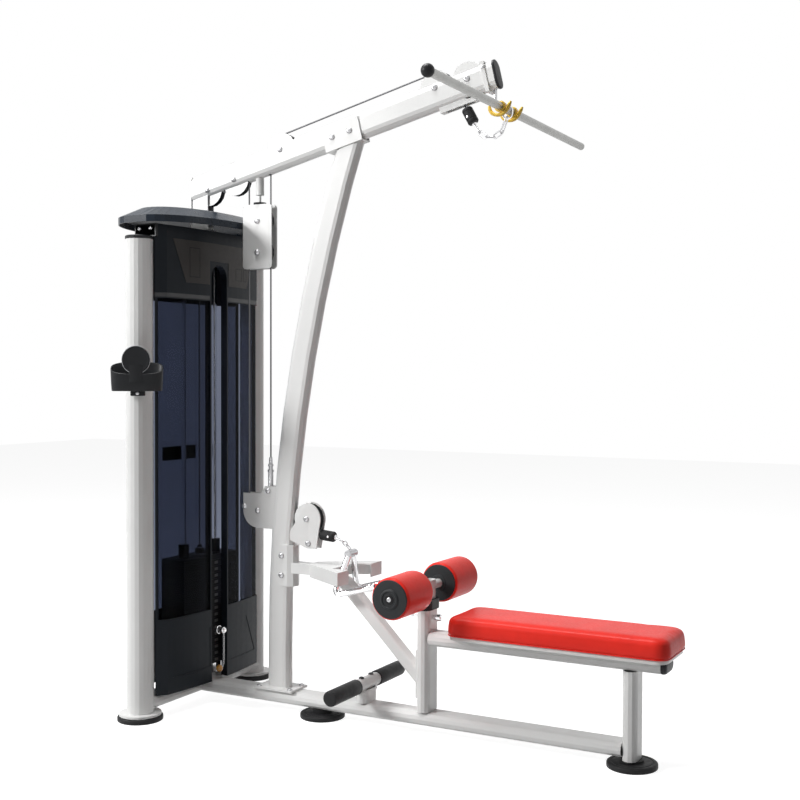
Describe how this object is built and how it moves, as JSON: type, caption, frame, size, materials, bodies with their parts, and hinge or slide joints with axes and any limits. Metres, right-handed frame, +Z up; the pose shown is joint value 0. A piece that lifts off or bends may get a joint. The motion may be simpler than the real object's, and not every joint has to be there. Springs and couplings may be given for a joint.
{
  "type": "lat pulldown machine",
  "caption": "Weight-stack lat pulldown and low row machine with a curved upright, boom and pulleys, straight bar, V handle, long padded seat and padded thigh rollers.",
  "frame": {"origin": "centre of the underside of the middle floor foot", "axes": "+Z up, +X from the weight tower towards the seat, +Y across the machine towards the far column"},
  "size_m": [2.1585, 1.358, 2.3933],
  "materials": {
    "white_paint": "gloss",
    "black_paint": "satin",
    "black_rubber": "matte",
    "black_plastic": "satin",
    "shroud_plastic": "satin",
    "smoked_pane": "gloss",
    "cast_plates": "satin",
    "bright_steel": "polished",
    "cable_steel": "satin",
    "red_vinyl": "gloss"
  },
  "bodies": {
    "frame": {"column_near": "white_paint", "foot_tower_near": "black_rubber", "column_far": "white_paint", "foot_tower_far": "black_rubber", "base_crossbeam": "white_paint", "base_tube": "white_paint", "foot_middle": "black_rubber", "foot_rear": "black_rubber", "upright": "white_paint", "boom": "white_paint", "boom_end_cap": "black_plastic", "boom_saddle": "white_paint", "top_crossbeam": "black_paint", "guide_rod_near": "bright_steel", "guide_rod_far": "bright_steel", "resting_plates": "cast_plates", "front_shroud": "shroud_plastic", "rear_shroud": "shroud_plastic", "window_near": "smoked_pane", "window_far": "smoked_pane", "tower_cap": "shroud_plastic", "low_pulley_bracket": "white_paint", "row_pulley_bracket": "white_paint", "row_arm": "white_paint", "row_brace": "white_paint", "front_post": "white_paint", "rear_post": "white_paint", "seat_rail": "white_paint", "seat_rail_cap": "black_plastic", "seat_pad": "red_vinyl", "footrest": "white_paint", "foot_grip_near": "black_rubber", "foot_grip_far": "black_rubber", "lat_cable": "cable_steel", "row_cable": "cable_steel", "accessory_tray": "black_plastic"},
    "stack": {"lifted_plates": "cast_plates", "head_plate": "cast_plates", "selector_stem": "bright_steel"},
    "pin": {"selector_pin": "bright_steel"},
    "lat_station": {"lat_bar": "bright_steel", "lat_stop": "black_rubber", "lat_chain": "bright_steel"},
    "block": {"floating_block": "white_paint"},
    "row_line": {"row_stop": "black_rubber", "row_chain": "bright_steel"},
    "handle": {"row_handle": "bright_steel"},
    "mast": {"roller_mast": "white_paint"},
    "roller_near": {"roller_near": "red_vinyl"},
    "roller_far": {"roller_far": "red_vinyl"},
    "post_pin": {"pull_pin": "bright_steel"},
    "rear_tower_pulley": {"rear_tower_pulley": "black_plastic"},
    "front_tower_pulley": {"front_tower_pulley": "black_plastic"},
    "boom_pulley": {"boom_pulley": "black_plastic"},
    "tip_pulley": {"tip_pulley": "black_plastic"},
    "tip_guide_pulley": {"tip_guide_pulley": "black_plastic"},
    "upper_block_pulley": {"upper_block_pulley": "black_plastic"},
    "lower_block_pulley": {"lower_block_pulley": "black_plastic"},
    "low_pulley": {"low_pulley": "black_plastic"},
    "row_pulley": {"row_pulley": "black_plastic"}
  },
  "joints": [
    {"name": "stack_lift", "type": "slide", "parent": "frame", "child": "stack", "axis": [0, 0, 1], "range_m": [0, 1], "deforming": ["lat_cable"]},
    {"name": "pin_pull", "type": "slide", "parent": "stack", "child": "pin", "axis": [1, 0, 0], "range_m": [0, 0.1]},
    {"name": "lat_pull", "type": "slide", "parent": "frame", "child": "lat_station", "axis": [0, 0, -1], "range_m": [0, 1]},
    {"name": "block_slide", "type": "slide", "parent": "frame", "child": "block", "axis": [0, 0, -1], "range_m": [0, 0.3], "stiffness_N_per_m": 300, "springref_m": -0.4, "deforming": ["row_cable"]},
    {"name": "row_pull", "type": "slide", "parent": "frame", "child": "row_line", "axis": [0.9563, 0, 0.2924], "range_m": [0, 0.6]},
    {"name": "handle_swing", "type": "hinge", "parent": "row_line", "child": "handle", "pos_m": [0.125, 0, 0.63], "axis": [0, 1, 0], "range_deg": [-70, 0]},
    {"name": "roller_height", "type": "slide", "parent": "frame", "child": "mast", "axis": [0, 0, 1], "range_m": [0, 0.1]},
    {"name": "roller_near_spin", "type": "hinge", "parent": "mast", "child": "roller_near", "pos_m": [0.444, -0.188, 0.533], "axis": [0, 1, 0], "continuous": true},
    {"name": "roller_far_spin", "type": "hinge", "parent": "mast", "child": "roller_far", "pos_m": [0.444, 0.188, 0.533], "axis": [0, 1, 0], "continuous": true},
    {"name": "post_pin_pull", "type": "slide", "parent": "frame", "child": "post_pin", "axis": [1, 0, 0], "range_m": [0, 0.009], "stiffness_N_per_m": 800, "springref_m": -0.006},
    {"name": "rear_tower_pulley_spin", "type": "hinge", "parent": "frame", "child": "rear_tower_pulley", "pos_m": [-0.523, 0, 2.02182], "axis": [0, 1, 0], "continuous": true},
    {"name": "front_tower_pulley_spin", "type": "hinge", "parent": "frame", "child": "front_tower_pulley", "pos_m": [-0.395, 0, 2.05531], "axis": [0, 1, 0], "continuous": true},
    {"name": "boom_pulley_spin", "type": "hinge", "parent": "frame", "child": "boom_pulley", "pos_m": [-0.178, 0, 2.15201], "axis": [0, 1, 0], "continuous": true},
    {"name": "tip_pulley_spin", "type": "hinge", "parent": "frame", "child": "tip_pulley", "pos_m": [0.478, 0, 2.31329], "axis": [0, 1, 0], "continuous": true},
    {"name": "tip_guide_pulley_spin", "type": "hinge", "parent": "frame", "child": "tip_guide_pulley", "pos_m": [0.604, 0, 2.33031], "axis": [0, 1, 0], "continuous": true},
    {"name": "upper_block_pulley_spin", "type": "hinge", "parent": "block", "child": "upper_block_pulley", "pos_m": [-0.2865, 0, 1.8875], "axis": [0, 1, 0], "continuous": true},
    {"name": "lower_block_pulley_spin", "type": "hinge", "parent": "block", "child": "lower_block_pulley", "pos_m": [-0.2865, 0, 1.7665], "axis": [0, 1, 0], "continuous": true},
    {"name": "low_pulley_spin", "type": "hinge", "parent": "frame", "child": "low_pulley", "pos_m": [-0.284, 0, 0.769], "axis": [0, 1, 0], "continuous": true},
    {"name": "row_pulley_spin", "type": "hinge", "parent": "frame", "child": "row_pulley", "pos_m": [-0.061, 0, 0.749], "axis": [0, 1, 0], "continuous": true}
  ],
  "couplings": [
    {"joint": "lat_pull", "follows": "stack_lift", "ratio": 1},
    {"joint": "row_pull", "follows": "block_slide", "ratio": 2},
    {"joint": "rear_tower_pulley_spin", "follows": "stack_lift", "rad_per_m": 17.241},
    {"joint": "front_tower_pulley_spin", "follows": "stack_lift", "rad_per_m": 17.241},
    {"joint": "boom_pulley_spin", "follows": "stack_lift", "rad_per_m": 17.241},
    {"joint": "tip_pulley_spin", "follows": "stack_lift", "rad_per_m": 17.241},
    {"joint": "tip_guide_pulley_spin", "follows": "stack_lift", "rad_per_m": -17.241},
    {"joint": "upper_block_pulley_spin", "follows": "stack_lift", "rad_per_m": -19.802},
    {"joint": "lower_block_pulley_spin", "follows": "block_slide", "rad_per_m": -19.802},
    {"joint": "low_pulley_spin", "follows": "block_slide", "rad_per_m": -37.736},
    {"joint": "row_pulley_spin", "follows": "block_slide", "rad_per_m": -37.736}
  ]
}
